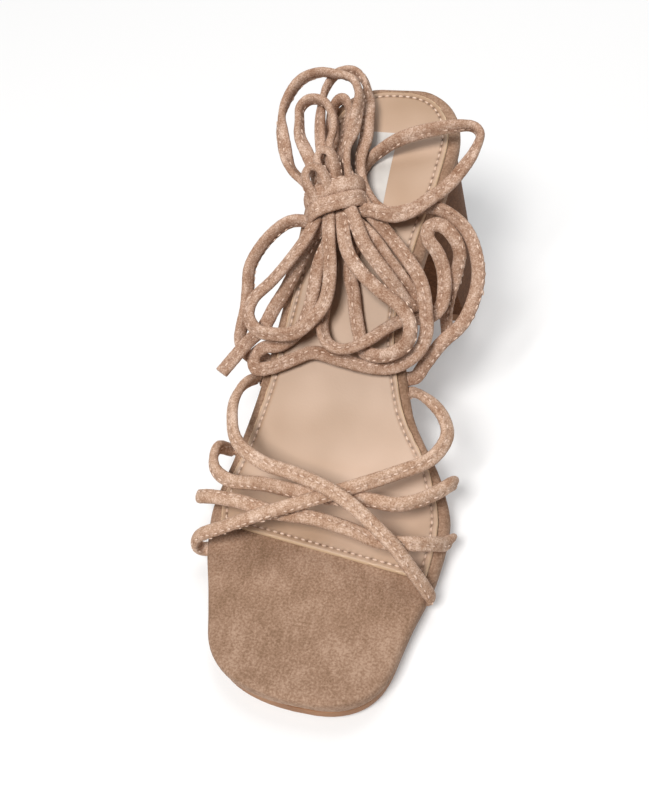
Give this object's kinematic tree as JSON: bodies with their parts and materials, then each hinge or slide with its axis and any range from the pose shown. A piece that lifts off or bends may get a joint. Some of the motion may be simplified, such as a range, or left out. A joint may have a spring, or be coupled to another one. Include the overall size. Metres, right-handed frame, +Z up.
{
  "type": "heeled sandal",
  "caption": "Square-toed strappy sandal on a covered block heel, with crossing cord straps over the toes and long laces tied in a bundle on the sock.",
  "frame": {"origin": "middle of the shoe's footprint, on the floor", "axes": "+Z up, the toe points to -Y and the heel to +Y, +X is the inner side of the right foot"},
  "size_m": [0.1022, 0.2285, 0.1016],
  "materials": {
    "tan_rubber": "moulded, matte",
    "faux_suede": "napped faux suede",
    "heel_suede": "napped faux suede over the block",
    "smooth_sock": "smooth synthetic with a soft sheen",
    "suede_cord": "stitched faux-suede cord"
  },
  "bodies": {
    "root": {"outsole": "tan_rubber", "footbed": "faux_suede", "sock": "smooth_sock", "heel": "heel_suede", "heel_top_piece": "tan_rubber", "upper": "suede_cord", "lace_outer_run": "suede_cord", "lace_inner_run": "suede_cord", "lace_back_loop_near": "suede_cord", "lace_back_loop_wide": "suede_cord", "lace_back_loop_far": "suede_cord", "lace_back_loop_low": "suede_cord", "lace_bow": "suede_cord", "lace_front_loop_outer": "suede_cord", "lace_front_loop_inner": "suede_cord", "lace_front_loop_middle": "suede_cord", "lace_front_sweep": "suede_cord", "lace_inner_end": "suede_cord", "lace_outer_end": "suede_cord", "lace_knot": "suede_cord"}
  },
  "joints": []
}
